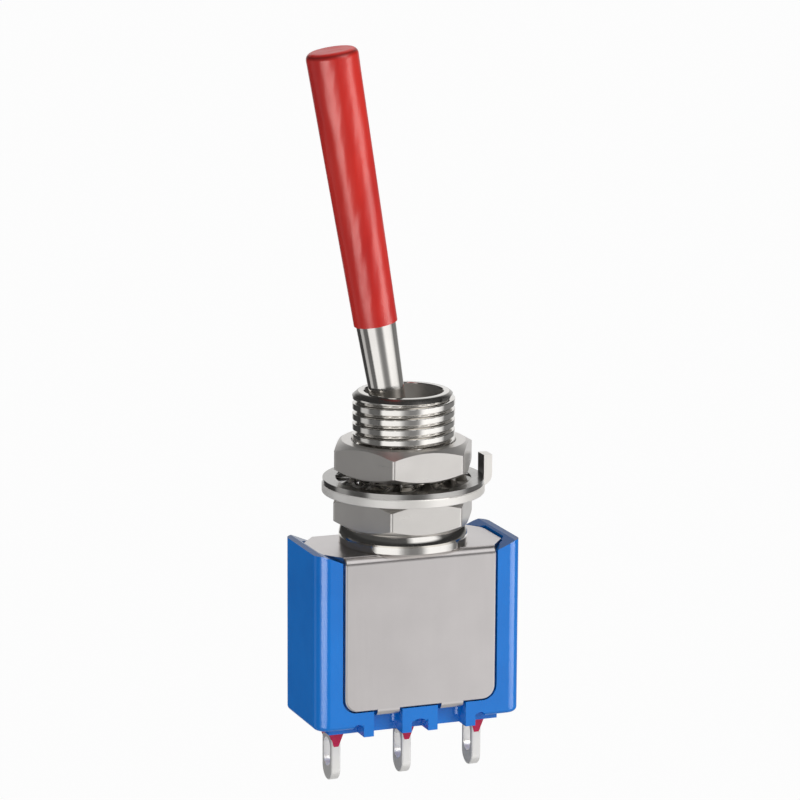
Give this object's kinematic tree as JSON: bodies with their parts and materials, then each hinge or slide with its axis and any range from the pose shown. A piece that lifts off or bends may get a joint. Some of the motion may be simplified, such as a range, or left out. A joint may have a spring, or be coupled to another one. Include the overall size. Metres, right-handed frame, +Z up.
{
  "type": "panel toggle switch",
  "caption": "Miniature panel toggle switch: long sleeved lever, threaded bushing with mounting hardware, metal frame, moulded case and solder lugs.",
  "frame": {"origin": "on the bushing's axis at the lower end of its free thread, just above the upper nut, where the panel's outer face lies", "axes": "+Z up the bushing towards the lever, X along the row of lugs and the lever's throw, +Y towards the back"},
  "size_m": [0.0136, 0.01, 0.0458],
  "materials": {
    "blue_plastic": "moulded, semi-gloss",
    "red_sleeve": "smooth soft vinyl",
    "crimson_resin": "glossy cured resin",
    "plunger_plastic": "moulded, satin",
    "bushing_nickel": "turned brass, nickel plated",
    "nut_nickel": "brass, nickel plated",
    "lever_nickel": "turned brass, bright nickel plated",
    "ring_steel": "stamped steel, nickel plated",
    "washer_steel": "stamped spring steel, nickel plated",
    "frame_steel": "folded sheet, satin plated",
    "pin_steel": "ground",
    "spring_steel": "drawn wire",
    "terminal_silver": "copper alloy, silver plated",
    "contact_silver": "silver, bright",
    "rocker_silver": "copper alloy, silver plated"
  },
  "bodies": {
    "housing": {"case": "blue_plastic", "frame": "frame_steel", "bushing": "bushing_nickel", "pivot_pin": "pin_steel", "terminal_left": "terminal_silver", "terminal_common": "terminal_silver", "terminal_right": "terminal_silver", "contact_left": "contact_silver", "contact_right": "contact_silver", "seal_left": "crimson_resin", "seal_centre": "crimson_resin", "seal_right": "crimson_resin", "lock_washer": "washer_steel", "locating_ring": "ring_steel"},
    "lever": {"lever": "lever_nickel", "lever_sleeve": "red_sleeve", "lever_spring": "spring_steel"},
    "plunger": {"plunger": "plunger_plastic"},
    "rocker": {"rocker": "rocker_silver"},
    "upper_nut": {"upper_nut": "nut_nickel"},
    "lower_nut": {"lower_nut": "nut_nickel"}
  },
  "joints": [
    {"name": "lever_tilt", "type": "hinge", "parent": "housing", "child": "lever", "pos_m": [0, 0, -0.00337], "axis": [0, 1, 0], "range_deg": [0, 19.7]},
    {"name": "plunger_slide", "type": "slide", "parent": "lever", "child": "plunger", "axis": [-0.1711, 0, 0.9853], "range_m": [0, 0.00035], "stiffness_N_per_m": 300, "springref_m": -0.0015, "deforming": ["lever_spring"]},
    {"name": "rocker_tilt", "type": "hinge", "parent": "housing", "child": "rocker", "pos_m": [0, 0, -0.00985], "axis": [0, 1, 0], "range_deg": [-16, 0]},
    {"name": "upper_nut_turn", "type": "hinge", "parent": "housing", "child": "upper_nut", "pos_m": [0, 0, -0.00103], "axis": [0, 0, 1], "continuous": true},
    {"name": "lower_nut_turn", "type": "hinge", "parent": "housing", "child": "lower_nut", "pos_m": [0, 0, -0.0043], "axis": [0, 0, 1], "continuous": true}
  ],
  "couplings": [
    {"joint": "rocker_tilt", "follows": "lever_tilt", "ratio": -0.8121}
  ]
}
